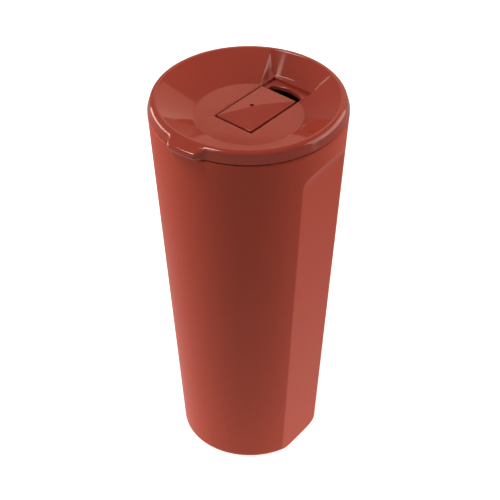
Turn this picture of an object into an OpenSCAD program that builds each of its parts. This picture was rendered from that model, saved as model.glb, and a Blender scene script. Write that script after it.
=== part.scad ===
// Drinks tumbler: a double-walled steel cup with two grip flats, closed by a press-in lid.
// A slider in the lid's dish opens and closes the sip hole and the vent.
// Millimetres. Z is up, the origin is the centre of the base, and the sip hole is on the +Y side.

/* [Cup] */
// Height of the lip above the table
cup_h = 182; // [150:1:220]
// Outer radius at the lip
lip_r = 44.5; // [38:0.5:54]
// Outer radius at the base, before its edge is rounded
base_r = 32; // [29:0.5:38]
// Radius of the rounded edge round the base
base_edge = 3; // [2:0.5:4]
// Wall of the outer shell
shell_t = 0.6; // [0.4:0.1:0.8]
// Wall of the inner liner
liner_t = 0.5; // [0.4:0.1:0.8]
// Width of the lip, from the liner's bore to the shell's outside
lip_w = 3; // [2.8:0.1:4]
// Radius of the lip's inner roll
lip_roll = 1.2; // [0.9:0.1:1.4]
// Depth of the liner's straight bore, where the lid plugs in
bore_depth = 10; // [9.8:0.1:12]
// Height of the sloping shoulder under that bore
shoulder_h = 6; // [5:0.5:7]
// Narrowest vacuum gap between the liner and the grip flats
vacuum_gap = 1.2; // [0.8:0.1:2]
// Height of the liner's floor above the table
floor_h = 8; // [7.5:0.5:12]
// Radius inside the liner, between its floor and its wall
liner_corner = 5; // [3:0.5:8]

/* [Grip flats] */
// Depth of the flats below the round side
flat_depth = 3; // [1:0.25:3.5]
// Distance from the bottom of the liner's bore down to where the flats start to curve out
flat_top_drop = 8; // [7:0.5:30]
// Radius of the cove at the top of each flat
flat_cove = 12; // [6:1:14]
// Turn of the cup, and of its flats, under the lid
grip_turn = 4.5; // [-90:0.5:90]

/* [Base] */
// Radius of the recess in the underside
recess_r = 25.9; // [20:0.1:26]
// Depth of that recess, up to the base cap
recess_depth = 1; // [0.6:0.1:1.4]
// Height of the shell's turned-up foot flange
flange_h = 3; // [2.6:0.1:3.4]
// Thickness of the base cap and of the vacuum base
disc_t = 0.6; // [0.4:0.1:0.8]

/* [Lid] */
// Height of the lid's crest above the lip
crest_h = 6; // [5:0.5:8]
// How far the skirt leans in from the lip's radius up to the crest
skirt_lean = 0.9; // [0:0.1:1.5]
// Radius of the crest's outer shoulder
crest_round = 2.2; // [1.2:0.1:2.4]
// Width of the crest, from its outer to its inner rounding
crest_w = 0.4; // [0.2:0.1:1.2]
// Distance from the lip's outside in to the edge of the dish's floor
floor_inset = 20; // [18:0.5:22]
// Depth of the dish's floor below the crest
dish_depth = 9; // [8:0.5:9.5]
// Thickness of the lid's plastic
lid_t = 2.2; // [1.8:0.1:2.6]
// Clearance between the lid's seat and the lip
seat_gap = 0.1; // [0.05:0.05:0.2]

/* [Lifting tab] */
// Half of the angle that the tab covers
tab_angle = 10.5; // [8:0.5:25]
// Turn of the tab from straight opposite the sip hole
tab_turn = 2.5; // [-10:0.5:10]
// Distance that the tab stands out from the lip
tab_out = 3.2; // [2:0.1:6]
// Height of the tab's underside above the lip, at its outer edge
tab_rise = 1; // [0.6:0.1:1.6]

/* [Plug and gasket] */
// Depth of the plug below the lip
plug_depth = 9.5; // [9:0.1:9.6]
// Wall of the plug
plug_t = 2.2; // [2:0.1:3]
// Radial clearance between the plug and the liner's bore
plug_gap = 0.5; // [0.3:0.1:0.8]
// Height of the plug's seat inside the lid's rim
plug_seat = 2; // [1:0.1:2.2]
// Depth of the gasket groove
groove_depth = 1.2; // [0.8:0.1:1.4]
// Height of the gasket groove
groove_h = 4; // [3:0.5:4.5]
// Clearance round the gasket, to the groove and to the bore
gasket_gap = 0.1; // [0.05:0.05:0.2]

/* [Slider and sip hole] */
// Distance from the lip's outside in to the far side of the sip hole
sip_inset = 15.6; // [14:0.1:18]
// Length of the sip hole, in the direction the slider moves
sip_len = 8.5; // [7:0.5:10]
// Width of the sip hole
sip_w = 17.6; // [12:0.2:18]
// Radius of the sip hole's bowed far edge
sip_bow = 15; // [12:0.5:40]
// Radius of the sip hole's corners
sip_corner = 2; // [1.5:0.1:3]
// Length of the slider
slider_len = 31; // [28:0.5:34]
// Width of the slider
slider_w = 19.6; // [19.6:0.2:24]
// Gap between the slider's sides and the channel's walls
side_gap = 0.9; // [0.4:0.1:1.5]
// Gap at each end of the slider's travel
end_gap = 0.7; // [0.3:0.1:1]
// Thickness of the slider at its edges
slider_t = 2; // [1.4:0.1:3]
// Height of the slider's thumb peak above its edges
peak_h = 0.9; // [0.5:0.1:2.5]
// Height of the slider's edges above the dish's floor
slider_rise = 0.3; // [0:0.1:1]
// Running clearance under the slider
slide_gap = 0.1; // [0.05:0.05:0.15]
// Radius of the vent hole
vent_r = 1; // [0.5:0.1:1.2]
// Width of the ledge on each side of the channel, inside the sip recess
ledge_w = 1; // [0.5:0.1:2]
// Lean of the sip recess's side faces, outwards from upright
recess_lean = 33.5; // [15:0.5:40]

/* [Hidden] */
$fn = 96;
tiny = 0.01;

// The cup's side, a cone, and the radius of its surfaces at a height.
lean = (lip_r - base_r) / cup_h;
lean_angle = atan(lean);
function shell_out(z) = base_r + lean * z;
function shell_in(z) = shell_out(z) - shell_t;
function liner_out(z) = shell_in(z) - flat_depth - vacuum_gap;
function liner_in(z) = liner_out(z) - liner_t;
function arc(centre, r, from, to, steps = 8) =
    [for (i = [0:steps]) centre + r * [cos(from + (to - from) * i / steps), sin(from + (to - from) * i / steps)]];

bore_r = lip_r - lip_w;
bore_bottom = cup_h - bore_depth;
shoulder_bottom = bore_bottom - shoulder_h;
flat_top = bore_bottom - flat_top_drop;

// Base discs.
flange_out = recess_r + shell_t;
cap_rim = 0.6 * flange_h;
dimple_r = 5;
dimple_h = 1.4;
port_r = 0.6;
bead_flat = 0.3;
getter_r = 3;
getter_t = 1.2;
getter_x = 12;

// Lid heights and radii.
seat_z = cup_h + seat_gap;
crest_z = cup_h + crest_h;
dish_z = crest_z - dish_depth;
crest_out = lip_r - skirt_lean;
crest_in = crest_out - crest_round - crest_w;
dish_r = lip_r - floor_inset;
wall_round = 2;
dish_corner = 1.2;
plug_out = bore_r - plug_gap;
plug_in = plug_out - plug_t;
plug_bottom = cup_h - plug_depth;
plug_top = cup_h + plug_seat;
groove_z = plug_bottom + 2;
wall_lean = (crest_z - wall_round / 2 - dish_z) / (crest_in - wall_round - dish_r);

// Channel, slider and sip hole along Y, with the slider drawn open.
sip_far = lip_r - sip_inset;
sip_near = sip_far - sip_len;
channel_half_w = slider_w / 2 + side_gap;
slider_front = sip_near + 0.4;
travel = sip_len + 0.8;
channel_far = slider_front + travel + end_gap;
slider_back = slider_front - slider_len;
channel_near = slider_back - end_gap;
slider_top = dish_z + slider_rise;
slider_bottom = slider_top - slider_t;
channel_z = slider_bottom - slide_gap;
floor_t = 2;
floor_bottom = channel_z - floor_t;
peak_y = slider_back + 0.56 * slider_len;
pad_t = 0.6;
pad_z = channel_z + slide_gap / 2;
pad_margin = 0.3;
vent = [-2.4, slider_back + 15.3];
vent_pad_r = 2.2;
stem_w = 4;
stem_len = 3.6;
stem_near = slider_back + 12.2;
slot_gap = 0.2;
keeper_t = 1.8;
keeper_w = 12;
keeper_reach = 3;
barb = 0.5;
barb_h = 1;
recess_half_w = channel_half_w + ledge_w;
panel_r = norm([recess_half_w, channel_far + 0.3]);

// A flat block, centred on X, between two places along Y and two heights.
module slab(half_w, y0, y1, z0, z1) {
    translate([-half_w, y0, z0]) cube([2 * half_w, y1 - y0, z1 - z0]);
}

// The two flats as solids to cut away, moved towards the axis by inset.
module grip_flats(inset) {
    start = -10;
    foot = shell_out(start) - flat_depth - inset / cos(lean_angle);
    bend = shell_out(flat_top) - flat_depth - inset / cos(lean_angle);
    cove = flat_cove + inset;
    centre = [bend, flat_top] + cove * [cos(lean_angle), -sin(lean_angle)];
    outside = bend + 2 * flat_cove;
    for (side = [0, 180])
        rotate([0, 0, grip_turn + side])
            rotate([90, 0, 0])
                linear_extrude(height = 4 * lip_r, center = true)
                    polygon(concat([[outside, start], [foot, start]],
                                   arc(centre, cove, 180 - lean_angle, 90, 10),
                                   [[outside, centre.y + cove]]));
}

// The cup's round body up to a height, inset from the outside, with its flats.
module cup_form(inset, bottom, top, edge) {
    difference() {
        rotate_extrude()
            polygon(concat([[0, bottom]],
                           arc([shell_out(bottom + edge) - inset - edge, bottom + edge], edge, -90, 0),
                           [[shell_out(top) - inset, top], [0, top]]));
        grip_flats(inset);
    }
}

module outer_shell() {
    color("sienna") {
        difference() {
            cup_form(0, 0, cup_h, base_edge);
            cup_form(shell_t, shell_t, cup_h + 1, base_edge - shell_t);
            translate([0, 0, -1]) cylinder(r = flange_out, h = shell_t + 2);
        }
        difference() {
            cylinder(r = flange_out, h = flange_h);
            translate([0, 0, -1]) cylinder(r = recess_r, h = flange_h + 2);
        }
    }
}

module inner_liner() {
    floor_out = floor_h - liner_t;
    roll_x = bore_r + lip_roll;
    roll_z = cup_h - lip_roll;
    color("silver")
        rotate_extrude()
            polygon(concat(
                [[0, floor_h]],
                arc([liner_in(floor_h) - liner_corner, floor_h + liner_corner], liner_corner, -90, 0),
                [[liner_in(shoulder_bottom), shoulder_bottom], [bore_r, bore_bottom]],
                arc([roll_x, roll_z], lip_roll, 180, 90),
                [[shell_in(cup_h), cup_h], [shell_in(cup_h - liner_t), cup_h - liner_t]],
                arc([roll_x, roll_z], lip_roll - liner_t, 90, 180),
                [[bore_r + liner_t, bore_bottom], [liner_out(shoulder_bottom), shoulder_bottom]],
                arc([liner_in(floor_h) - liner_corner, floor_h + liner_corner],
                    liner_corner + liner_t, 0, -90),
                [[0, floor_out]]));
}

module base_cap() {
    color("sienna")
        difference() {
            translate([0, 0, recess_depth]) cylinder(r = recess_r, h = cap_rim);
            translate([0, 0, recess_depth + disc_t]) cylinder(r = recess_r - disc_t, h = cap_rim);
        }
}

module vacuum_base() {
    top = flange_h + disc_t;
    color("silver")
        rotate_extrude()
            polygon([[flange_out, flange_h], [flange_out, top], [dimple_r, top],
                     [2 * port_r, top + dimple_h], [port_r, top + dimple_h], [port_r, flange_h + dimple_h],
                     [2 * port_r, flange_h + dimple_h], [dimple_r, flange_h]]);
}

// The bead that plugs the evacuation port, filling the dimple from below.
module vacuum_seal() {
    slope = (dimple_r - 2 * port_r) / dimple_h;
    color("dimgray")
        rotate_extrude()
            polygon([[0, flange_h + bead_flat], [dimple_r - slope * bead_flat, flange_h + bead_flat],
                     [2 * port_r, flange_h + dimple_h], [port_r, flange_h + dimple_h],
                     [port_r, flange_h + dimple_h + disc_t], [0, flange_h + dimple_h + disc_t]]);
}

// The pellet that soaks up stray gas, clipped under the liner's floor.
module getter() {
    color("gray")
        translate([getter_x, 0, floor_h - liner_t - getter_t]) cylinder(r = getter_r, h = getter_t);
}

module lid_gasket() {
    inner = plug_out - groove_depth + gasket_gap;
    body = plug_out - 0.2;
    tip = bore_r - gasket_gap;
    low = groove_z + gasket_gap;
    high = groove_z + groove_h - gasket_gap;
    fin = (high - low) / 4;
    color("white")
        rotate_extrude()
            polygon([[inner, low], [body, low], [tip, low + fin], [body, low + 2 * fin],
                     [tip, low + 3 * fin], [body, high], [inner, high]]);
}

module lid_plug() {
    color("sienna")
        difference() {
            translate([0, 0, plug_bottom]) cylinder(r = plug_out, h = plug_top - plug_bottom);
            translate([0, 0, plug_bottom - 1]) cylinder(r = plug_in, h = plug_top - plug_bottom + 2);
            translate([0, 0, groove_z])
                difference() {
                    cylinder(r = plug_out + 1, h = groove_h);
                    translate([0, 0, -1]) cylinder(r = plug_out - groove_depth, h = groove_h + 2);
                }
        }
}

// Section of the lid's round body: skirt, crest, dish wall and floor.
module lid_section() {
    under_z = dish_z - lid_t;
    slope = atan(wall_lean);
    inner = [crest_in, crest_z - wall_round];
    corner = [dish_r - dish_corner * tan(slope / 2), dish_z + dish_corner];
    polygon(concat(
        [[0, under_z], [dish_r + lid_t * tan(slope / 2), under_z], [plug_in, plug_top],
         [plug_out, plug_top], [plug_out, seat_z], [lip_r - 0.4, seat_z], [lip_r, seat_z + 0.4]],
        arc([crest_out - crest_round, crest_z - crest_round], crest_round, 12, 90),
        arc(inner, wall_round, 90, 90 + slope),
        arc(corner, dish_corner, slope - 90, -90),
        [[0, dish_z]]));
}

// How far the tab's outline stands out at an angle from its middle, easing in at both ends.
function tab_reach(angle) =
    let (ease = min(1, max(0, (tab_angle + 2.5 - abs(angle)) / 5)))
    tab_out * ease * ease * (3 - 2 * ease);

module lifting_tab() {
    outer = lip_r + tab_out;
    reach = tab_angle + 3;
    low = cup_h + tab_rise;
    high = crest_z - 1.8;
    round = 1.5;
    toe = 0.9;
    rotate([0, 0, tab_turn]) intersection() {
        rotate([0, 0, -90 - reach])
            rotate_extrude(angle = 2 * reach)
                polygon(concat(
                    [[crest_out - crest_round, seat_z + 1], [lip_r - 0.5, seat_z + 0.5]],
                    arc([outer - toe, low + toe], toe, -90, 0, 4),
                    arc([outer - round, high - round], round, 0, 70),
                    [[crest_out - crest_round, crest_z]]));
        translate([0, 0, low - 1])
            linear_extrude(height = crest_z - low + 2)
                polygon(concat([[0, 0]], [for (a = [-reach:1:reach])
                    (lip_r + tab_reach(a)) * [sin(a), -cos(a)]]));
    }
}

// The sip recess, cut into the dish's wall: two leaning side faces and a conical back.
module sip_recess(grow, bottom) {
    top = crest_z + 1;
    half_top = recess_half_w + (top - dish_z) * tan(recess_lean);
    intersection() {
        rotate([90, 0, 0])
            translate([0, 0, -lip_r])
                linear_extrude(height = lip_r - dish_r / 2)
                    polygon([[-recess_half_w - grow, bottom], [recess_half_w + grow, bottom],
                             [recess_half_w + grow, dish_z], [half_top + grow, top],
                             [-half_top - grow, top], [-recess_half_w - grow, dish_z]]);
        children();
    }
}

// Everything open above the channel's floor.
module channel_space() {
    slab(channel_half_w, channel_near, channel_far, channel_z, dish_z + 0.5);
    sip_recess(0, dish_z)
        translate([0, 0, dish_z]) cylinder(r1 = panel_r, r2 = crest_in - 0.2, h = dish_depth);
}

// The thick plastic under the channel and behind the recess, below the dish's surface.
module channel_boss() {
    foot = panel_r + lid_t;
    intersection() {
        union() {
            slab(channel_half_w + lid_t, channel_near - lid_t, channel_far, floor_bottom, dish_z);
            sip_recess(lid_t, floor_bottom) cylinder(r = lip_r, h = crest_z);
        }
        rotate_extrude()
            polygon([[0, floor_bottom], [foot, floor_bottom], [plug_in, floor_bottom + plug_in - foot],
                     [plug_in, plug_top], [dish_r + 1, dish_z - tiny], [0, dish_z - tiny]]);
    }
}

module sip_hole() {
    translate([0, 0, floor_bottom - 1])
        linear_extrude(height = floor_t + 2)
            offset(r = sip_corner)
                offset(delta = -sip_corner)
                    intersection() {
                        translate([-sip_w / 2, sip_near]) square([sip_w, sip_len]);
                        translate([0, sip_far - sip_bow]) circle(r = sip_bow);
                    }
}

module lid_top() {
    color("sienna")
        difference() {
            union() {
                rotate_extrude() lid_section();
                lifting_tab();
                channel_boss();
            }
            channel_space();
            sip_hole();
            translate([vent.x, vent.y, floor_bottom - 1]) cylinder(r = vent_r, h = floor_t + 2, $fn = 32);
            slab(stem_w / 2 + slot_gap, stem_near - slot_gap, stem_near + stem_len + travel + slot_gap,
                 floor_bottom - 1, channel_z + 1);
        }
}

// The slider's plate with its four faces rising to the thumb peak.
module slider_plate() {
    peak_r = 0.8;
    hull() {
        slab(slider_w / 2, slider_back, slider_front, slider_bottom, slider_top);
        translate([0, peak_y, slider_top]) cylinder(r = peak_r, h = peak_h, $fn = 24);
    }
}

module slider() {
    keeper_top = floor_bottom - slide_gap;
    stem_bottom = keeper_top - keeper_t;
    color("sienna")
        difference() {
            union() {
                slider_plate();
                slab(stem_w / 2, stem_near, stem_near + stem_len, stem_bottom, slider_bottom + tiny);
                slab(stem_w / 2 + barb, stem_near, stem_near + stem_len, stem_bottom - barb_h, stem_bottom);
            }
            seal_space();
            vent_pad_space();
            translate([vent.x, vent.y, slider_bottom - 1])
                cylinder(r = vent_r, h = slider_t + peak_h + 2, $fn = 32);
        }
}

module seal_space() {
    slab(sip_w / 2 + pad_margin, slider_front - travel - 1, slider_front - pad_margin, pad_z, pad_z + pad_t);
}

module vent_pad_space() {
    translate([vent.x, vent.y - travel, pad_z]) cylinder(r = vent_pad_r, h = pad_t, $fn = 48);
}

module slider_seal() {
    color("white") seal_space();
}

module vent_pad() {
    color("white") vent_pad_space();
}

// The clip pushed on to the slider's stem from below, which holds the slider in its channel.
module slider_keeper() {
    keeper_top = floor_bottom - slide_gap;
    color("dimgray")
        difference() {
            slab(keeper_w / 2, stem_near - keeper_reach, stem_near + stem_len + keeper_reach,
                 keeper_top - keeper_t, keeper_top);
            slab(stem_w / 2, stem_near, stem_near + stem_len, keeper_top - keeper_t - 1, keeper_top + 1);
            translate([vent.x, vent.y, keeper_top - keeper_t - 1])
                cylinder(r = vent_r + 0.2, h = keeper_t + 2, $fn = 32);
        }
}

outer_shell();
inner_liner();
base_cap();
vacuum_base();
vacuum_seal();
getter();
lid_gasket();
lid_top();
lid_plug();
slider();
slider_seal();
vent_pad();
slider_keeper();
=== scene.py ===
import math

import bpy
from mathutils import Matrix, Vector


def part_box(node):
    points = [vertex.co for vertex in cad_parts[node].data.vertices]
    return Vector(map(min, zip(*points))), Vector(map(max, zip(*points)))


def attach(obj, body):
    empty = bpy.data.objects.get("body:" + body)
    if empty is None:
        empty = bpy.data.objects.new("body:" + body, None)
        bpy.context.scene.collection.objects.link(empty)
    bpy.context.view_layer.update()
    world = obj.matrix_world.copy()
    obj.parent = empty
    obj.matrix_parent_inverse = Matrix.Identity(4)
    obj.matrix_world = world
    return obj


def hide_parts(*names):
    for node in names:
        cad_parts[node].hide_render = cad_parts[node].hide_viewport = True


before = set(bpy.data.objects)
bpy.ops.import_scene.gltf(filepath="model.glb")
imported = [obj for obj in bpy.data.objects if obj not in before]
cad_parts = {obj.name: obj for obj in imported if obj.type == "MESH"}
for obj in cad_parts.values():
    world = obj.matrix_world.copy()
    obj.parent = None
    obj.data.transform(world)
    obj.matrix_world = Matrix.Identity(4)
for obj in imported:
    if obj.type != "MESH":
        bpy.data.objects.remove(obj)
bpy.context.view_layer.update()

MM = 0.001
LIP_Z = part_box("outer_shell")[1].z
LIP_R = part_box("outer_shell")[1].y
CREST_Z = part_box("lid_top")[1].z
RECESS_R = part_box("base_cap")[1].x

# The outer shell: a cone from the foot to the lip, with two leaning grip flats.
FOOT_R = 32 * MM
FOOT_EDGE = 3 * MM
SHELL_T = 0.6 * MM
FLANGE_H = 3 * MM
LIP_ROUND = 0.9 * MM
FLAT_DEPTH = 3 * MM
FLAT_TOP = LIP_Z - 18 * MM
FLAT_COVE = 12 * MM
GRIP_TURN = math.radians(4.5)
LEAN = (LIP_R - FOOT_R) / LIP_Z
LEAN_ANGLE = math.atan(LEAN)

# Columns of vertices round the shell and the lid.
TURN_STEPS = 480

# The lid: a dished disc with a rounded crest and a lifting tab. The tab's turn from the slider's line,
# the angle from its middle to where it has run out, and the part of that in which it eases are in degrees.
SEAT_Z = LIP_Z + 0.1 * MM
DISH_Z = CREST_Z - 9 * MM
DISH_R = LIP_R - 20 * MM
LID_T = 2.2 * MM
CREST_OUT = LIP_R - 0.9 * MM
CREST_ROUND = 2.2 * MM
CREST_IN = CREST_OUT - CREST_ROUND - 0.4 * MM
WALL_ROUND = 2 * MM
DISH_CORNER = 1.2 * MM
SKIRT_Z = SEAT_Z + 0.5 * MM
SEAT_R = LIP_R - 1.6 * MM
PLUG_R = LIP_R - 3.5 * MM
PLUG_IN = PLUG_R - 2.2 * MM
PLUG_TOP = LIP_Z + 2 * MM
TAB_TURN = 2.5
TAB_ANGLE = 14
TAB_EASE = 6
TAB_OUT = 3.2 * MM
TAB_RISE = 1 * MM
TAB_DROP = 1.8 * MM
TAB_SWELL = 0.12 * MM
TAB_NOSE = 1.5 * MM
TAB_TOE = 0.9 * MM

# The slider, its channel, the sip hole at the channel's far end and the recess over it.
SLIDER_LOW, SLIDER_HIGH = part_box("slider")
EDGE_Z = DISH_Z + 0.3 * MM
PLATE_LOW_Z = EDGE_Z - 2 * MM
BARB_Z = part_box("slider_keeper")[0].z
CHANNEL_Z = DISH_Z - 1.8 * MM
FLOOR_BOTTOM = CHANNEL_Z - 2 * MM
CHANNEL_HALF_W = SLIDER_HIGH.x + 0.9 * MM
TRAVEL = 9.3 * MM
PEAK_Y = SLIDER_LOW.y + 0.56 * (SLIDER_HIGH.y - SLIDER_LOW.y)
CHANNEL_NEAR = SLIDER_LOW.y - 0.7 * MM
CHANNEL_FAR = SLIDER_HIGH.y + TRAVEL + 0.7 * MM
RECESS_HALF_W = CHANNEL_HALF_W + 1 * MM
RECESS_LEAN = math.radians(33.5)
PANEL_R = math.hypot(RECESS_HALF_W, CHANNEL_FAR + 0.3 * MM)
SIP_W, SIP_LEN, SIP_BOW = 17.6 * MM, 8.5 * MM, 15 * MM
SIP_FAR = LIP_R - 15.6 * MM
STEM_HALF_W = 2 * MM
STEM_NEAR = SLIDER_LOW.y + 12.2 * MM
STEM_FAR = STEM_NEAR + 3.6 * MM
SLOT_GAP = 0.2 * MM
VENT_R = 1 * MM
VENT_X, VENT_Y = -2.4 * MM, SLIDER_LOW.y + 15.3 * MM


# ---------------------------------------------------------------- camera, lights and floor

def look_at(thing, target, roll=0.0):
    """Turns a camera or a light so that it faces a point."""
    thing.rotation_mode = "QUATERNION"
    facing = (Vector(target) - thing.location).to_track_quat("-Z", "Y")
    thing.rotation_quaternion = facing @ Matrix.Rotation(roll, 4, "Z").to_quaternion()


def round_the_cup(azimuth, elevation, distance, aim):
    """A place at a distance from the point aimed at; azimuth 0 is on the tab's side, towards -Y."""
    a, e = math.radians(azimuth), math.radians(elevation)
    away = Vector((math.sin(a) * math.cos(e), -math.cos(a) * math.cos(e), math.sin(e)))
    return Vector(aim) + away * distance


def set_camera():
    """A long lens, looking down on the lid from the right of its tab."""
    aim = (0, 0, 103 * MM)
    data = bpy.data.cameras.new("camera")
    data.sensor_width = 36
    data.lens = 131.5
    data.shift_x = 0.0014
    data.clip_start, data.clip_end = 0.05, 20
    camera = bpy.data.objects.new("camera", data)
    bpy.context.scene.collection.objects.link(camera)
    camera.location = round_the_cup(40.5, 37.93, 850 * MM, aim)
    look_at(camera, aim, roll=-0.005)
    bpy.context.scene.camera = camera


def soft_box(name, azimuth, elevation, distance, width, height, watts, tint):
    """A rectangular lamp that faces the middle of the cup."""
    aim = (0, 0, 110 * MM)
    data = bpy.data.lights.new(name, "AREA")
    data.shape = "RECTANGLE"
    data.size, data.size_y = width, height
    data.energy = watts
    data.color = tint
    light = bpy.data.objects.new(name, data)
    bpy.context.scene.collection.objects.link(light)
    light.location = round_the_cup(azimuth, elevation, distance, aim)
    look_at(light, aim)


def set_studio():
    """A dim white room with warm boxes round the cup, and a small one whose gleam lies in the recess."""
    world = bpy.data.worlds.new("studio")
    world.use_nodes = True
    world.node_tree.nodes["Background"].inputs["Color"].default_value = (1, 1, 1, 1)
    world.node_tree.nodes["Background"].inputs["Strength"].default_value = 0.16
    bpy.context.scene.world = world
    bpy.context.scene.view_settings.view_transform = "Standard"
    warm = (1, 0.76, 0.62)
    soft_box("left_box", -70, 6, 1.0, 0.9, 0.5, 9.5, warm)
    soft_box("right_box", 140, 16, 1.0, 1.2, 1.1, 12.5, warm)
    soft_box("flank_box", 128.5, 13, 0.8, 0.14, 0.14, 0.16, warm)
    soft_box("back_box", 205, 23.5, 1.0, 1.0, 0.56, 1.5, (1, 0.5, 0.34))
    soft_box("key_box", -38, 63, 0.9, 0.30, 0.30, 4.6, (1, 0.9, 0.82))
    soft_box("spark_box", -7, 43, 0.9, 0.15, 0.18, 0.35, warm)


def lay_floor():
    """A pale floor, which looks even and throws a soft light that fades away from the cup."""
    deselect()
    bpy.ops.mesh.primitive_plane_add(size=8, location=(0, 0, -0.2 * MM))
    floor = bpy.context.object
    floor.name = "floor"
    material = bpy.data.materials.new("pale_floor")
    material.use_nodes = True
    tree = material.node_tree
    shader = tree.nodes["Principled BSDF"]
    shader.inputs["Base Color"].default_value = (0.7, 0.7, 0.7, 1)
    shader.inputs["Roughness"].default_value = 0.9
    shader.inputs["Emission Color"].default_value = (1, 1, 1, 1)
    shader.inputs["Emission Strength"].default_value = 0.8
    place = tree.nodes.new("ShaderNodeTexCoord")
    away = tree.nodes.new("ShaderNodeVectorMath")
    away.operation = "LENGTH"
    fade = tree.nodes.new("ShaderNodeMapRange")
    fade.inputs["From Min"].default_value, fade.inputs["From Max"].default_value = 0.08, 0.3
    fade.inputs["To Min"].default_value, fade.inputs["To Max"].default_value = 1.1, 0.35
    bounce = tree.nodes.new("ShaderNodeEmission")
    tree.links.new(place.outputs["Object"], away.inputs[0])
    tree.links.new(away.outputs["Value"], fade.inputs["Value"])
    tree.links.new(fade.outputs["Result"], bounce.inputs["Color"])
    seen = tree.nodes.new("ShaderNodeLightPath")
    mixed = tree.nodes.new("ShaderNodeMixShader")
    tree.links.new(seen.outputs["Is Camera Ray"], mixed.inputs["Fac"])
    tree.links.new(bounce.outputs["Emission"], mixed.inputs[1])
    tree.links.new(shader.outputs["BSDF"], mixed.inputs[2])
    tree.links.new(mixed.outputs["Shader"], tree.nodes["Material Output"].inputs["Surface"])
    floor.data.materials.append(material)


# ---------------------------------------------------------------- shader maths and finishes

class Wire:
    """An output socket that can be added, multiplied and so on; each sum adds a Math node."""

    def __init__(self, finish, socket):
        self.finish, self.socket = finish, socket

    def __add__(self, other):
        return self.finish.maths("ADD", self, other)

    def __radd__(self, other):
        return self.finish.maths("ADD", other, self)

    def __sub__(self, other):
        return self.finish.maths("SUBTRACT", self, other)

    def __rsub__(self, other):
        return self.finish.maths("SUBTRACT", other, self)

    def __mul__(self, other):
        return self.finish.maths("MULTIPLY", self, other)

    def __rmul__(self, other):
        return self.finish.maths("MULTIPLY", other, self)


class Finish:
    """One procedural material, whose pattern lies on the piece's own coordinates."""

    def __init__(self, name, metallic=0.0, ior=1.5):
        self.material = bpy.data.materials.new(name)
        self.material.use_nodes = True
        self.tree = self.material.node_tree
        self.shader = self.tree.nodes["Principled BSDF"]
        self.shader.inputs["Metallic"].default_value = metallic
        self.shader.inputs["IOR"].default_value = ior
        self.place = self.node("ShaderNodeTexCoord", output="Object")

    def node(self, kind, settings=None, sockets=None, output=0):
        """Adds any node: its settings first, then the values or links of its sockets."""
        made = self.tree.nodes.new(kind)
        for key, value in (settings or {}).items():
            setattr(made, key, value)
        for key, value in (sockets or {}).items():
            self.plug(made.inputs[key], value)
        return Wire(self, made.outputs[output])

    def maths(self, operation, *values):
        """A Math node's result for the values or links given."""
        return self.node("ShaderNodeMath", {"operation": operation}, dict(enumerate(values)))

    def plug(self, socket, value):
        """Links a wire to a socket, or sets the socket's own value."""
        if isinstance(value, Wire):
            self.tree.links.new(value.socket, socket)
        else:
            socket.default_value = value

    def noise(self, size, detail=3.0, rough=0.5, at=None):
        """Noise from 0 to 1 whose blotches are about size metres across."""
        sockets = {"Vector": at or self.place, "Scale": 1 / size, "Detail": detail, "Roughness": rough}
        return self.node("ShaderNodeTexNoise", {}, sockets)

    def ramp(self, value, low, high):
        """0 below low and 1 above high."""
        sockets = {"Value": value, "From Min": low, "From Max": high}
        return self.node("ShaderNodeMapRange", {"interpolation_type": "SMOOTHSTEP"}, sockets)

    def mix(self, mask, first, second):
        """The first colour where the mask is 0 and the second where it is 1."""
        sockets = {"Factor": mask, 6: first, 7: second}
        return self.node("ShaderNodeMix", {"data_type": "RGBA"}, sockets, output=2)

    def along(self, axis):
        """The place along one axis, X, Y or Z, in metres."""
        return self.node("ShaderNodeSeparateXYZ", {}, {"Vector": self.place}, output=axis)

    def bump(self, height, distance, under=None):
        """Surface relief of a height, laid over another relief if one is given."""
        sockets = {"Height": height, "Distance": distance}
        if under is not None:
            sockets["Normal"] = under
        return self.node("ShaderNodeBump", {}, sockets)

    def show(self, **sockets):
        """Feeds the shader's sockets, named with _ for each space, and hands over the material."""
        for name, value in sockets.items():
            self.plug(self.shader.inputs[name.replace("_", " ")], value)
        return self.material


def shade(colour, factor):
    """A colour made lighter or darker, with its alpha."""
    return tuple(c * factor for c in colour[:3]) + (1.0,)


TERRACOTTA = (0.38, 0.055, 0.029)
LID_RED = (0.30, 0.045, 0.028)


def powder_coat():
    """Satin terracotta coat: soft orange peel, a fine tooth, and a scuffed foot."""
    coat = Finish("terracotta_powder_coat", ior=1.2)
    blotch = coat.noise(26 * MM, 2)
    peel = coat.noise(0.9 * MM, 2)
    tooth = coat.noise(0.16 * MM, 2, 0.6)
    ragged = coat.noise(1.6 * MM, 4) * (1.6 * MM)
    foot_scuff = 1 - coat.ramp(coat.along("Z") - ragged, -0.2 * MM, 0.5 * MM)
    body = coat.mix(blotch, shade(TERRACOTTA, 0.95), shade(TERRACOTTA, 1.05))
    toothed = coat.mix(coat.ramp(tooth, 0.35, 0.75), body, shade(TERRACOTTA, 1.16))
    scuffed = coat.mix(foot_scuff * 0.5, toothed, (0.42, 0.13, 0.09, 1))
    rough = 0.46 + (blotch - 0.5) * 0.08 + (tooth - 0.5) * 0.12 + foot_scuff * 0.2
    grain = coat.bump(tooth, 0.004 * MM)
    return coat.show(Base_Color=scuffed, Roughness=rough,
                     Normal=coat.bump(peel, 0.012 * MM, under=grain))


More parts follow.
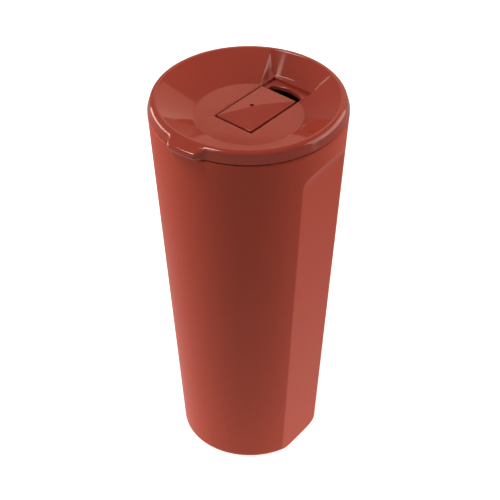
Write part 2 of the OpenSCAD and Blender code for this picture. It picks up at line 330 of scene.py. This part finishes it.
def lid_plastic():
    """Glossy moulded plastic: slow flow waviness, a few hairline rubs and finger smudges."""
    gloss = Finish("glossy_lid_plastic", ior=1.49)
    flow = gloss.noise(14 * MM, 1)
    smudge = gloss.ramp(gloss.noise(9 * MM, 4, 0.6), 0.45, 0.7)
    stretched = gloss.node("ShaderNodeMapping", {}, {"Vector": gloss.place, "Rotation": (0, 0, 0.7),
                                                     "Scale": (1, 26, 26)})
    rubs = gloss.ramp(gloss.noise(8 * MM, 2, 0.5, at=stretched), 0.66, 0.72)
    body = gloss.mix(flow, shade(LID_RED, 0.94), shade(LID_RED, 1.06))
    rough = 0.07 + smudge * 0.05 + rubs * 0.05
    fine = gloss.bump(rubs, -0.002 * MM)
    return gloss.show(Base_Color=body, Roughness=rough, Normal=gloss.bump(flow, 0.03 * MM, under=fine))


def plug_plastic():
    """The same plastic as the lid with a plainer, satin tool finish."""
    satin = Finish("satin_plug_plastic", ior=1.49)
    flow = satin.noise(7 * MM, 2)
    spark = satin.noise(0.35 * MM, 2)
    body = satin.mix(flow, shade(LID_RED, 0.9), shade(LID_RED, 1.05))
    return satin.show(Base_Color=body, Roughness=0.33 + (spark - 0.5) * 0.12,
                      Normal=satin.bump(spark, 0.006 * MM))


def turned_steel(name, lines, tint):
    """Steel with fine lines round the axis, as turning and polishing leave them."""
    steel = Finish(name, metallic=1.0)
    x, y = steel.along("X"), steel.along("Y")
    angle = steel.maths("ARCTAN2", y, x)
    radius = steel.maths("SQRT", x * x + y * y)
    spots = {"X": angle * (2 * MM), "Y": radius, "Z": steel.along("Z")}
    along = steel.node("ShaderNodeCombineXYZ", {}, spots)
    line = steel.noise(lines, 3, 0.6, at=along)
    cloud = steel.noise(12 * MM, 3)
    body = steel.mix(cloud, shade(tint, 0.9), shade(tint, 1.08))
    rough = 0.24 + (line - 0.5) * 0.25 + (cloud - 0.5) * 0.08
    return steel.show(Base_Color=body, Roughness=rough, Normal=steel.bump(line, 0.003 * MM))


def silicone():
    """Milky silicone with a matt, slightly dusty skin."""
    skin = Finish("milky_silicone", ior=1.41)
    dust = skin.noise(3 * MM, 4)
    pore = skin.noise(0.25 * MM, 2)
    body = skin.mix(dust, (0.62, 0.60, 0.56, 1), (0.76, 0.74, 0.70, 1))
    return skin.show(Base_Color=body, Roughness=0.5 + (dust - 0.5) * 0.2,
                     Normal=skin.bump(pore, 0.008 * MM))


def speckled(name, colour, size, rough, lift, metallic=0.0):
    """A grainy finish, for the sealing glass, the sintered pellet and the clip's moulded texture."""
    grain = Finish(name, metallic=metallic)
    speck = grain.noise(size, 3, 0.6)
    body = grain.mix(grain.ramp(speck, 0.35, 0.65), shade(colour, 0.75), shade(colour, 1.25))
    return grain.show(Base_Color=body, Roughness=rough + (speck - 0.5) * 0.2,
                      Normal=grain.bump(speck, lift))


# ---------------------------------------------------------------- modelling helpers

def deselect():
    """Leaves edit mode and selects nothing."""
    if bpy.context.object and bpy.context.object.mode != "OBJECT":
        bpy.ops.object.mode_set(mode="OBJECT")
    bpy.ops.object.select_all(action="DESELECT")


def take(piece):
    """Selects one piece and nothing else."""
    deselect()
    bpy.context.view_layer.objects.active = piece
    piece.select_set(True)


def arc(centre_r, centre_z, radius, start, stop, steps):
    """Points of a round stretch of an outline; angles in degrees from the outward direction."""
    angles = [math.radians(start + (stop - start) * i / steps) for i in range(steps + 1)]
    return [(centre_r + radius * math.cos(a), centre_z + radius * math.sin(a)) for a in angles]


def turn_outline(name, outline, segments):
    """Turns an open outline of (radius, height) about Z: a ring of vertices, extruded ring by ring."""
    deselect()
    radius, height = outline[0]
    bpy.ops.mesh.primitive_circle_add(vertices=segments, radius=radius, location=(0, 0, height))
    piece = bpy.context.object
    piece.name = piece.data.name = name
    bpy.ops.object.transform_apply(location=True, rotation=True, scale=True)
    bpy.ops.object.mode_set(mode="EDIT")
    bpy.ops.mesh.select_mode(type="VERT")
    bpy.ops.mesh.select_all(action="SELECT")
    for next_radius, next_height in outline[1:]:
        bpy.ops.mesh.extrude_region_move()
        grow = next_radius / radius
        bpy.ops.transform.resize(value=(grow, grow, 1), center_override=(0, 0, height))
        bpy.ops.transform.translate(value=(0, 0, next_height - height))
        radius, height = next_radius, next_height
    bpy.ops.mesh.select_all(action="SELECT")
    bpy.ops.mesh.normals_make_consistent(inside=False)
    bpy.ops.object.mode_set(mode="OBJECT")
    return piece


def pick_vertices(piece, wanted):
    """Goes into edit mode with the vertices selected whose place passes a test."""
    take(piece)
    bpy.ops.object.mode_set(mode="EDIT")
    bpy.ops.mesh.select_mode(type="VERT")
    bpy.ops.mesh.select_all(action="DESELECT")
    bpy.ops.object.mode_set(mode="OBJECT")
    for vertex in piece.data.vertices:
        vertex.select = wanted(vertex.co)
    bpy.ops.object.mode_set(mode="EDIT")


def finish_with(piece, kind, **settings):
    """Adds a modifier and applies it."""
    take(piece)
    modifier = piece.modifiers.new(kind.lower(), kind)
    for key, value in settings.items():
        setattr(modifier, key, value)
    bpy.ops.object.modifier_apply(modifier=modifier.name)


def smooth(piece, angle):
    """Shades a piece smooth, apart from the edges that turn by more than an angle."""
    take(piece)
    bpy.ops.object.shade_smooth_by_angle(angle=math.radians(angle))


def reshape(piece, places):
    """Moves vertices to new places, axis by axis, with weighted displacements that are applied."""
    for number, axis in enumerate("XYZ"):
        moves = [(i, place[number] - piece.data.vertices[i].co[number]) for i, place in places.items()]
        for way in (1, -1):
            moved = [(i, way * move) for i, move in moves if way * move > 1e-8]
            if not moved:
                continue
            reach = max(move for _, move in moved)
            group = piece.vertex_groups.new(name="pull")
            for i, move in moved:
                group.add([i], move / reach, "REPLACE")
            finish_with(piece, "DISPLACE", direction=axis, strength=way * reach, mid_level=0,
                        vertex_group="pull")
            piece.vertex_groups.clear()


def block(name, half_w, y0, y1, z0, z1, half_top=None):
    """A block centred on X; half_top makes its top wider than its foot."""
    deselect()
    bpy.ops.mesh.primitive_cube_add(size=1, location=(0, (y0 + y1) / 2, (z0 + z1) / 2))
    piece = bpy.context.object
    piece.name = name
    piece.scale = (2 * half_w, y1 - y0, z1 - z0)
    bpy.ops.object.transform_apply(location=True, rotation=True, scale=True)
    if half_top:
        pick_vertices(piece, lambda co: co.z > (z0 + z1) / 2)
        bpy.ops.transform.resize(value=(half_top / half_w, 1, 1), center_override=(0, 0, z1))
        bpy.ops.object.mode_set(mode="OBJECT")
    return piece


def rod(name, radius, top_radius, x, y, z0, z1, sides):
    """An upright rod, or a cone where its top has another radius."""
    deselect()
    bpy.ops.mesh.primitive_cone_add(vertices=sides, radius1=radius, radius2=top_radius, depth=z1 - z0,
                                    location=(x, y, (z0 + z1) / 2))
    piece = bpy.context.object
    piece.name = name
    bpy.ops.object.transform_apply(location=True, rotation=True, scale=True)
    return piece


def carve(piece, operation, tool):
    """Joins, cuts or keeps what is shared with another solid, which is used up."""
    finish_with(piece, "BOOLEAN", operation=operation, object=tool, solver="EXACT")
    bpy.data.objects.remove(tool)


def round_edges(piece, width, segments, least, wanted):
    """Rounds the edges that turn by more than an angle and whose two ends pass a test."""
    normals = {}
    for face in piece.data.polygons:
        for key in face.edge_keys:
            normals.setdefault(key, []).append(face.normal.copy())
    take(piece)
    bpy.ops.object.mode_set(mode="EDIT")
    bpy.ops.mesh.select_mode(type="EDGE")
    bpy.ops.mesh.select_all(action="DESELECT")
    bpy.ops.object.mode_set(mode="OBJECT")
    for edge in piece.data.edges:
        pair = normals.get(edge.key, [])
        first, second = (piece.data.vertices[i].co for i in edge.vertices)
        edge.select = (len(pair) == 2 and pair[0].angle(pair[1], 0) > math.radians(least)
                       and wanted(first, second))
    bpy.ops.object.mode_set(mode="EDIT")
    bpy.ops.mesh.bevel(offset=width, segments=segments, affect="EDGES")
    bpy.ops.object.mode_set(mode="OBJECT")


def clean(piece, gap):
    """Merges vertices closer than a gap and makes the faces look outwards."""
    take(piece)
    bpy.ops.object.mode_set(mode="EDIT")
    bpy.ops.mesh.select_all(action="SELECT")
    bpy.ops.mesh.remove_doubles(threshold=gap)
    bpy.ops.mesh.normals_make_consistent(inside=False)
    bpy.ops.object.mode_set(mode="OBJECT")


def cap_ends(piece):
    """Closes the two open ends of a turned outline with flat faces."""
    take(piece)
    bpy.ops.object.mode_set(mode="EDIT")
    bpy.ops.mesh.select_all(action="DESELECT")
    bpy.ops.mesh.select_mode(type="EDGE")
    bpy.ops.mesh.select_non_manifold()
    bpy.ops.mesh.fill_holes(sides=0)
    bpy.ops.mesh.select_all(action="SELECT")
    bpy.ops.mesh.normals_make_consistent(inside=False)
    bpy.ops.object.mode_set(mode="OBJECT")


def merged_copy(node, name):
    """A copy of a CAD node's mesh with its triangles joined up, to carve with."""
    piece = bpy.data.objects.new(name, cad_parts[node].data.copy())
    piece.data.name = name
    bpy.context.scene.collection.objects.link(piece)
    take(piece)
    piece.data.materials.clear()
    bpy.ops.object.mode_set(mode="EDIT")
    bpy.ops.mesh.select_all(action="SELECT")
    bpy.ops.mesh.remove_doubles(threshold=0.001 * MM)
    bpy.ops.mesh.dissolve_limited(angle_limit=math.radians(0.2))
    bpy.ops.object.mode_set(mode="OBJECT")
    return piece


def settle(piece, body, node, material):
    """Gives a piece its finish and its place in the assembly."""
    piece.data.materials.clear()
    piece.data.materials.append(material)
    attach(piece, body)
    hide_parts(node)


# ---------------------------------------------------------------- the pieces

def shell_radius(z):
    """Radius of the shell's outside, away from the flats."""
    return FOOT_R + LEAN * z


def flat_distance(z):
    """Distance of a grip flat from the cup's axis, with the cove that runs out to the round side."""
    if z <= FLAT_TOP:
        return shell_radius(z) - FLAT_DEPTH
    cove_r = shell_radius(FLAT_TOP) - FLAT_DEPTH + FLAT_COVE * math.cos(LEAN_ANGLE)
    cove_z = FLAT_TOP - FLAT_COVE * math.sin(LEAN_ANGLE)
    rise = z - cove_z
    if rise >= FLAT_COVE:
        return 2 * LIP_R
    return cove_r - math.sqrt(FLAT_COVE ** 2 - rise ** 2)


def press_flats(shell, border=24, spread=60, arch=9, arch_height=8 * MM):
    """Presses the two grip flats into the round shell.

    The columns of vertices within an angle of a flat's middle drift sideways, so that the one at the
    border's angle follows the flat's edge. Over the flat's arch they stay drawn in to the arch's angle,
    and then they drift back up to the lip.
    """
    places = {}
    for vertex in shell.data.vertices:
        x, y, z = vertex.co
        radius = math.hypot(x, y)
        reach = flat_distance(z)
        if z < FLAT_TOP and radius <= reach:
            continue
        turn = math.degrees(math.atan2(y, x) - GRIP_TURN)
        side = 0 if abs((turn + 180) % 360 - 180) < 90 else 180
        angle = (turn - side + 180) % 360 - 180
        if abs(angle) > spread:
            continue
        edge = math.degrees(math.acos(min(1, reach / radius)))
        if z > FLAT_TOP:
            back = max(0, z - FLAT_TOP - arch_height) / (LIP_Z - FLAT_TOP - arch_height)
            edge = max(edge, arch + (border - arch) * back)
        if abs(angle) <= border + 0.01:
            angle *= edge / border
        else:
            left = (spread - abs(angle)) / (spread - border)
            angle = math.copysign(spread - left * (spread - edge), angle)
        out = min(radius, reach / math.cos(math.radians(angle)))
        a = math.radians(angle + side) + GRIP_TURN
        places[vertex.index] = (out * math.cos(a), out * math.sin(a), z)
    reshape(shell, places)


def side_heights():
    """Heights of the rings up the shell's side, which lie closest over the flats' coves."""
    lower = [z * MM for z in range(6, 162, 4)]
    run_in = [z * MM for z in range(162, 167)]
    cove = [(166 + z / 2) * MM for z in range(1, 17)]
    upper = [z * MM for z in range(176, 181, 2)]
    return lower + run_in + cove + upper


def make_shell(material):
    """The painted outer wall: turned from the base recess's flange to the lip, then pressed."""
    outline = [(RECESS_R, FLANGE_H), (RECESS_R, 1.5 * MM)]
    outline += arc(RECESS_R + 0.4 * MM, 0.4 * MM, 0.4 * MM, 180, 270, 4)
    outline += [(r * MM, 0) for r in (27, 28)]
    outline += arc(shell_radius(FOOT_EDGE) - FOOT_EDGE, FOOT_EDGE, FOOT_EDGE, -90, 0, 10)
    outline += [(shell_radius(z), z) for z in side_heights()]
    outline += arc(LIP_R - LIP_ROUND, LIP_Z - LIP_ROUND, LIP_ROUND, 0, 72, 6)
    shell = turn_outline("cup_shell", outline, TURN_STEPS)
    press_flats(shell)
    finish_with(shell, "SOLIDIFY", thickness=SHELL_T, offset=-1)
    smooth(shell, 50)
    settle(shell, "cup", "outer_shell", material)


def dish_outline():
    """The dish's floor and its wall up to the crest, and the tangent of half the wall's slope."""
    slope = math.degrees(math.atan((CREST_Z - WALL_ROUND / 2 - DISH_Z) / (CREST_IN - WALL_ROUND - DISH_R)))
    half = math.tan(math.radians(slope / 2))
    dish = [(r * MM, DISH_Z) for r in (2, 12, 20)]
    dish += arc(DISH_R - DISH_CORNER * half, DISH_Z + DISH_CORNER, DISH_CORNER, -90, slope - 90, 6)
    dish += arc(CREST_IN, CREST_Z - WALL_ROUND, WALL_ROUND, 90 + slope, 90, 8)
    return dish, half


def lid_outlines():
    """The lid's section, from the dish's floor out over the crest and back under, as it is all round
    and as it is across the middle of the lifting tab."""
    dish, half = dish_outline()
    shoulder = CREST_OUT - CREST_ROUND
    crest = arc(shoulder, CREST_Z - CREST_ROUND, CREST_ROUND, 90, 12, 9)
    top_r, top_z = crest[-1]
    skirt = [(top_r + (LIP_R - top_r) * i / 9, top_z - (top_z - SKIRT_Z - 0.3 * MM) * i / 9)
             for i in range(1, 10)]
    skirt += [(LIP_R - 0.1 * MM, SKIRT_Z + 0.1 * MM), (LIP_R - 0.35 * MM, SKIRT_Z)]
    under = [(SEAT_R, SKIRT_Z), (SEAT_R, SEAT_Z), (PLUG_R, SEAT_Z), (PLUG_R, PLUG_TOP), (PLUG_IN, PLUG_TOP),
             (DISH_R + LID_T * half, DISH_Z - LID_T), (12 * MM, DISH_Z - LID_T), (2 * MM, DISH_Z - LID_T)]

    nose = arc(LIP_R + TAB_OUT - TAB_NOSE, CREST_Z - TAB_DROP - TAB_NOSE, TAB_NOSE, 70, 0, 5)
    toe = arc(LIP_R + TAB_OUT - TAB_TOE, LIP_Z + TAB_RISE + TAB_TOE, TAB_TOE, 0, -90, 4)
    nose_r, nose_z = nose[0]
    slide = [(shoulder + (nose_r - shoulder) * i / 9, CREST_Z + (nose_z - CREST_Z) * i / 9)
             for i in range(9)]
    slide[1:4] = [(r, z + TAB_SWELL) for r, z in slide[1:4]]
    tab = slide + nose + toe + [(LIP_R - 0.35 * MM, SKIRT_Z + 0.05 * MM)]
    tab = tab[:len(crest + skirt)]
    return dish + crest + skirt + under, dish + tab + under


def pull_tab(lid, outline, tab_outline):
    """Pulls the lifting tab out of the rim, with both ends easing into it."""
    places = {}
    for vertex in lid.data.vertices:
        ring = vertex.index // TURN_STEPS
        angle = math.degrees(math.atan2(vertex.co.x, -vertex.co.y)) - TAB_TURN
        ease = min(1, max(0, (TAB_ANGLE - abs(angle)) / TAB_EASE))
        ease = ease * ease * (3 - 2 * ease)
        (r, z), (tab_r, tab_z) = outline[ring], tab_outline[ring]
        if ease == 0 or (r, z) == (tab_r, tab_z):
            continue
        radius, a = r + ease * (tab_r - r), math.radians(angle + TAB_TURN)
        places[vertex.index] = (radius * math.sin(a), -radius * math.cos(a), z + ease * (tab_z - z))
    reshape(lid, places)


def recess_prism(name, grow, bottom):
    """The sip recess's wedge: upright below the dish's floor and leaning out above it."""
    top = CREST_Z + 1 * MM
    half = RECESS_HALF_W + grow
    wide = half + (top - DISH_Z) * math.tan(RECESS_LEAN)
    wedge = block(name, half, DISH_R / 2, LIP_R, DISH_Z, top, half_top=wide)
    if bottom < DISH_Z:
        carve(wedge, "UNION", block("foot", half, DISH_R / 2, LIP_R, bottom, DISH_Z + 0.01 * MM))
    return wedge


def make_boss():
    """The thick plastic under the channel and behind the recess."""
    foot = PANEL_R + LID_T
    top = DISH_Z - 0.05 * MM
    outline = [(2 * MM, FLOOR_BOTTOM), (foot, FLOOR_BOTTOM), (PLUG_IN, FLOOR_BOTTOM + PLUG_IN - foot),
               (PLUG_IN + 0.2 * MM, PLUG_TOP + 0.3 * MM), (DISH_R + 1 * MM, top), (2 * MM, top)]
    limit = turn_outline("limit", outline, TURN_STEPS // 4)
    cap_ends(limit)
    boss = recess_prism("boss", LID_T, FLOOR_BOTTOM)
    carve(boss, "UNION", block("rail", CHANNEL_HALF_W + LID_T, CHANNEL_NEAR - LID_T, CHANNEL_FAR,
                               FLOOR_BOTTOM, DISH_Z))
    carve(boss, "INTERSECT", limit)
    return boss


def make_sip_hole():
    """A cutter for the sip hole: a D shape with its bowed side outwards and rounded corners."""
    hole = block("sip_cutter", SIP_W / 2, SIP_FAR - SIP_LEN, SIP_FAR, FLOOR_BOTTOM - 1 * MM, DISH_Z)
    bow = rod("bow", SIP_BOW, SIP_BOW, 0, SIP_FAR - SIP_BOW, FLOOR_BOTTOM - 2 * MM, DISH_Z + 1 * MM, 160)
    carve(hole, "INTERSECT", bow)
    round_edges(hole, 2 * MM, 6, 30, lambda a, b: abs(a.z - b.z) > 1 * MM)
    return hole


def make_recess_cutter():
    """A cutter for the sip recess: a wedge with a round back, whose far corners are rounded."""
    recess = recess_prism("recess", 0, DISH_Z)
    above = CREST_Z + 1 * MM
    panel_top = PANEL_R + (CREST_IN - 0.2 * MM - PANEL_R) * (above - DISH_Z) / (CREST_Z - DISH_Z)
    carve(recess, "INTERSECT", rod("panel", PANEL_R, panel_top, 0, 0, DISH_Z, above, TURN_STEPS // 2))
    round_edges(recess, 1.5 * MM, 6, 25, lambda a, b: abs(a.z - b.z) > 1 * MM and min(a.y, b.y) > SIP_FAR)
    return recess


def cut_openings(lid):
    """Cuts the recess, the channel, the sip hole, the stem's slot and the vent into the lid."""
    below = FLOOR_BOTTOM - 1 * MM
    above = CHANNEL_Z + 1 * MM
    carve(lid, "DIFFERENCE", make_recess_cutter())
    carve(lid, "DIFFERENCE", block("channel", CHANNEL_HALF_W, CHANNEL_NEAR, CHANNEL_FAR,
                                   CHANNEL_Z, DISH_Z + 0.5 * MM))
    carve(lid, "DIFFERENCE", make_sip_hole())
    carve(lid, "DIFFERENCE", block("slot", STEM_HALF_W + SLOT_GAP, STEM_NEAR - SLOT_GAP,
                                   STEM_FAR + TRAVEL + SLOT_GAP, below, above))
    carve(lid, "DIFFERENCE", rod("vent", VENT_R, VENT_R, VENT_X, VENT_Y, below, above, 32))


def round_lid_edges(lid):
    """Rounds the edges in the dish and the recess, and then the sip hole's upper edge."""
    dish_edges = DISH_Z - 0.1 * MM
    round_edges(lid, 0.4 * MM, 3, 25, lambda a, b: min(a.z, b.z) > dish_edges
                and max(math.hypot(a.x, a.y), math.hypot(b.x, b.y)) < CREST_OUT)
    hole_edge = CHANNEL_Z - 0.1 * MM
    round_edges(lid, 0.5 * MM, 3, 25, lambda a, b: hole_edge < min(a.z, b.z)
                and max(a.z, b.z) < CHANNEL_Z + 0.1 * MM and SIP_FAR - SIP_LEN + 0.2 * MM < min(a.y, b.y)
                and max(a.y, b.y) < SIP_FAR + 0.2 * MM)


def make_lid(material):
    """The lid: turned, its tab pulled out, the boss joined on, its openings cut and its edges rounded."""
    outline, tab_outline = lid_outlines()
    lid = turn_outline("lid_shell", outline, TURN_STEPS)
    pull_tab(lid, outline, tab_outline)
    cap_ends(lid)
    carve(lid, "UNION", make_boss())
    cut_openings(lid)
    clean(lid, 0.05 * MM)
    finish_with(lid, "TRIANGULATE", min_vertices=5)
    round_lid_edges(lid)
    # The rounding lifts the recess's upper corners a little, so they are pressed flat to the crest.
    pick_vertices(lid, lambda co: co.z > CREST_Z)
    bpy.ops.transform.resize(value=(1, 1, 0), center_override=(0, 0, CREST_Z))
    bpy.ops.object.mode_set(mode="OBJECT")
    smooth(lid, 35)
    finish_with(lid, "WEIGHTED_NORMAL", keep_sharp=True)
    settle(lid, "lid", "lid_top", material)


def raise_peak(plate, top):
    """Pokes the plate's flat top and lifts the middle to the thumb peak, which is blunted."""
    middle = (SLIDER_LOW.y + SLIDER_HIGH.y) / 2
    pick_vertices(plate, lambda co: co.z > top)
    bpy.ops.mesh.poke()
    pick_vertices(plate, lambda co: co.z > top and math.hypot(co.x, co.y - middle) < 1 * MM)
    bpy.ops.transform.translate(value=(0, PEAK_Y - middle, SLIDER_HIGH.z - EDGE_Z))
    bpy.ops.mesh.bevel(offset=0.8 * MM, segments=1, affect="VERTICES")
    bpy.ops.object.mode_set(mode="OBJECT")


def make_slider(material):
    """The sliding plate: four flat faces rise to the thumb peak, and a barbed stem hangs below."""
    top = EDGE_Z - 0.001 * MM
    plate = block("slider_plate", SLIDER_HIGH.x, SLIDER_LOW.y, SLIDER_HIGH.y, PLATE_LOW_Z, EDGE_Z)
    round_edges(plate, 0.3 * MM, 3, 25, lambda a, b: abs(a.z - b.z) > 1 * MM)
    round_edges(plate, 0.25 * MM, 3, 25, lambda a, b: min(a.z, b.z) > top)
    raise_peak(plate, top)
    carve(plate, "UNION", block("stem", STEM_HALF_W, STEM_NEAR, STEM_FAR, BARB_Z, PLATE_LOW_Z + 0.5 * MM))
    carve(plate, "UNION", block("barb", STEM_HALF_W, STEM_NEAR, STEM_FAR, SLIDER_LOW.z, BARB_Z,
                                half_top=STEM_HALF_W + 0.5 * MM))
    carve(plate, "DIFFERENCE", merged_copy("slider_seal", "seal_pocket"))
    carve(plate, "DIFFERENCE", merged_copy("vent_pad", "pad_pocket"))
    carve(plate, "DIFFERENCE", rod("vent", VENT_R, VENT_R, VENT_X, VENT_Y,
                                   PLATE_LOW_Z - 1 * MM, SLIDER_HIGH.z + 1 * MM, 32))
    finish_with(plate, "TRIANGULATE", min_vertices=5)
    smooth(plate, 35)
    # The four faces meet in crisp lines, though they turn by only a few degrees.
    pick_vertices(plate, lambda co: co.z > top)
    bpy.ops.mesh.mark_sharp()
    bpy.ops.object.mode_set(mode="OBJECT")
    settle(plate, "slider", "slider", material)


set_camera()
set_studio()
lay_floor()

coat = powder_coat()
gloss = lid_plastic()
make_shell(coat)
make_lid(gloss)
make_slider(gloss)

steel = turned_steel("brushed_liner_steel", 0.22 * MM, (0.58, 0.57, 0.55))
rubber = silicone()
INSIDE = {
    "inner_liner": steel,
    "vacuum_base": steel,
    "base_cap": coat,
    "vacuum_seal": speckled("sealing_glass", (0.03, 0.03, 0.035), 0.8 * MM, 0.2, 0.02 * MM),
    "getter": speckled("sintered_pellet", (0.22, 0.21, 0.2), 0.3 * MM, 0.6, 0.03 * MM, metallic=0.8),
    "lid_plug": plug_plastic(),
    "lid_gasket": rubber,
    "slider_seal": rubber,
    "vent_pad": rubber,
    "slider_keeper": speckled("clip_plastic", (0.02, 0.02, 0.02), 0.25 * MM, 0.5, 0.01 * MM),
}
for node, finish in INSIDE.items():
    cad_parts[node].data.materials.clear()
    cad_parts[node].data.materials.append(finish)
